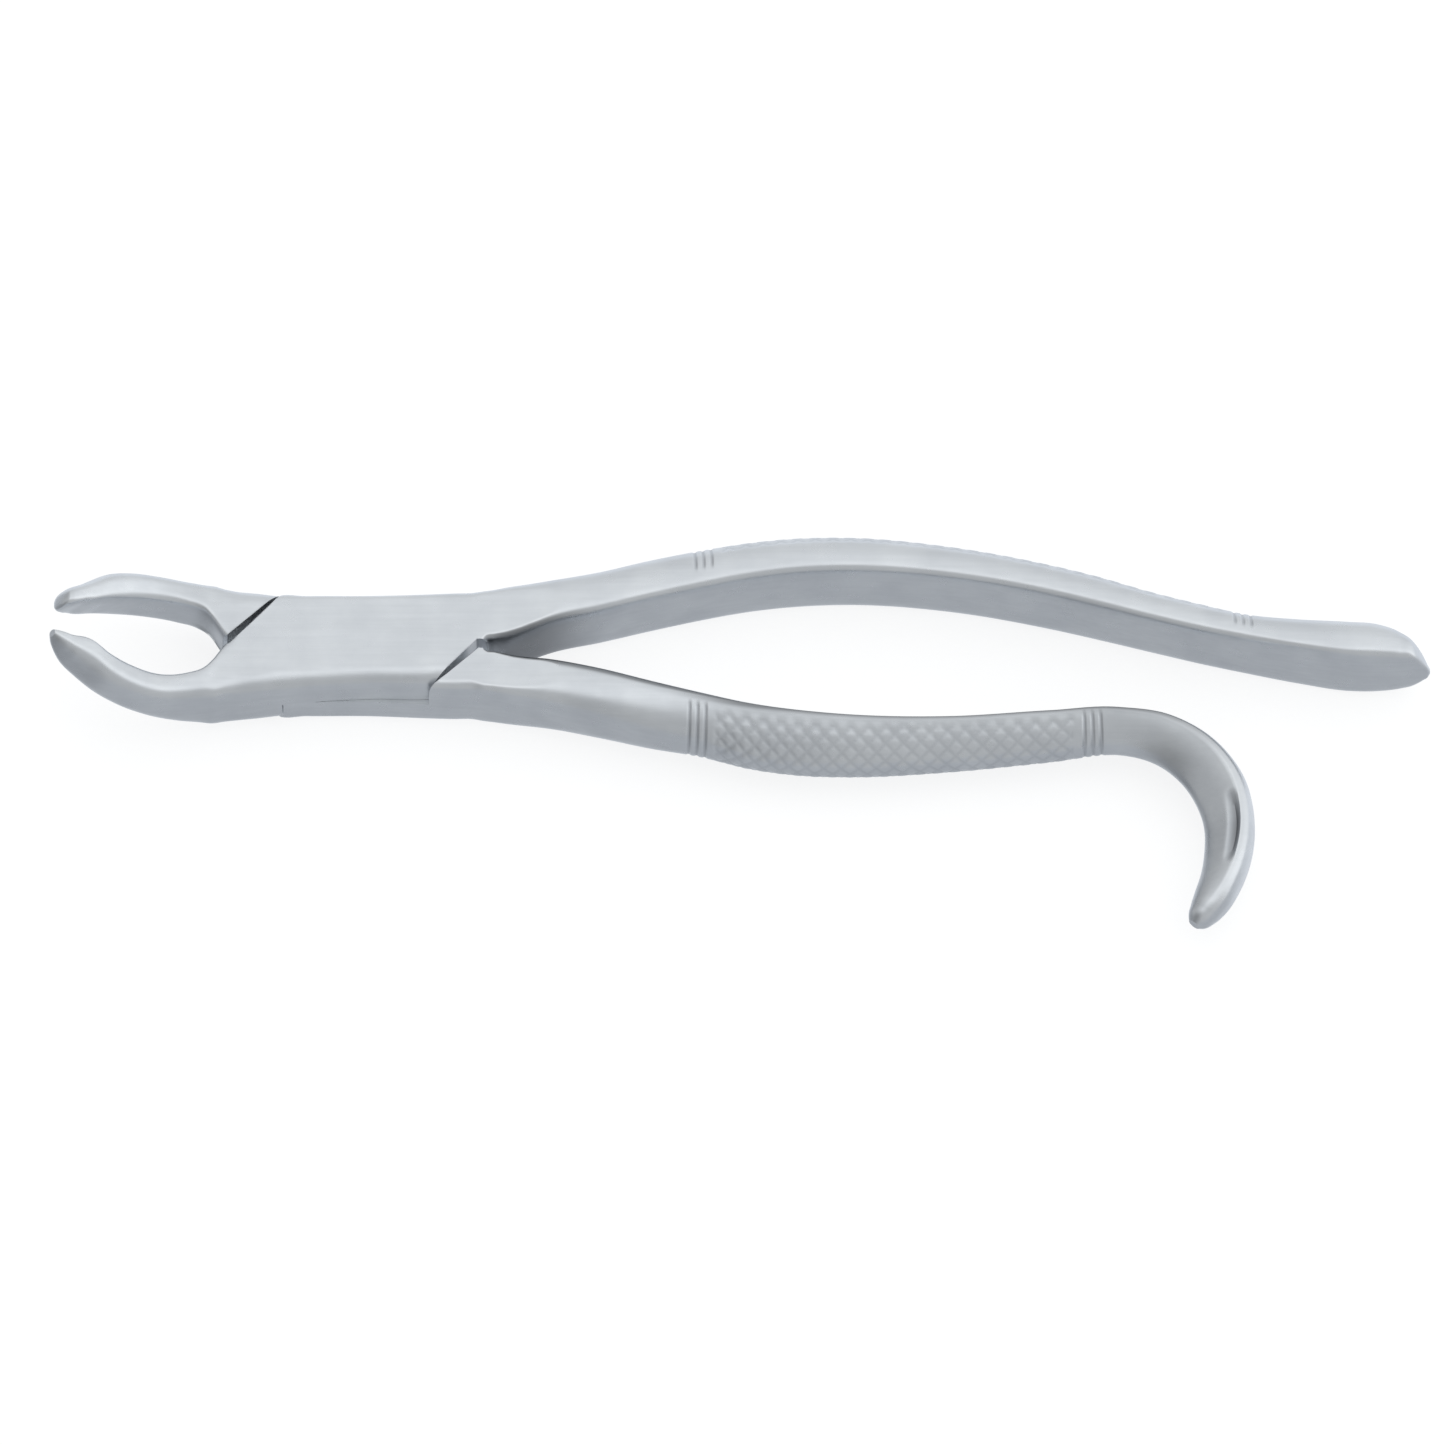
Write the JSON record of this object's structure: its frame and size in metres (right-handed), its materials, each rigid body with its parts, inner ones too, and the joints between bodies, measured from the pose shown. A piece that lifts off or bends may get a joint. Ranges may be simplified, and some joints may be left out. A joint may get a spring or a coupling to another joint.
{
  "type": "dental extraction forceps",
  "caption": "Dental extraction forceps for lower molars: two crossed steel halves in a lap joint, upturned beaks, one straight handle and one hooked handle.",
  "frame": {"origin": "on the pivot axis, in the flat rear face of the joint, which faces the table", "axes": "+X from the pivot towards the handles, +Y towards the straight handle's side, +Z along the pivot axis towards the front, the side the beaks curve up to"},
  "size_m": [0.1782, 0.056, 0.017],
  "materials": {
    "straight_half_steel": "satin, brighter on the beak",
    "hook_half_steel": "satin, brighter on the beak and the hook",
    "screw_steel": "fine turned"
  },
  "bodies": {
    "straight_half": {"straight_half": "straight_half_steel", "pivot_screw": "screw_steel"},
    "hook_half": {"hook_half": "hook_half_steel"}
  },
  "joints": [
    {"name": "pivot", "type": "hinge", "parent": "straight_half", "child": "hook_half", "pos_m": [0, 0, 0.0048], "axis": [0, 0, -1], "range_deg": [-4.4, 55]}
  ]
}
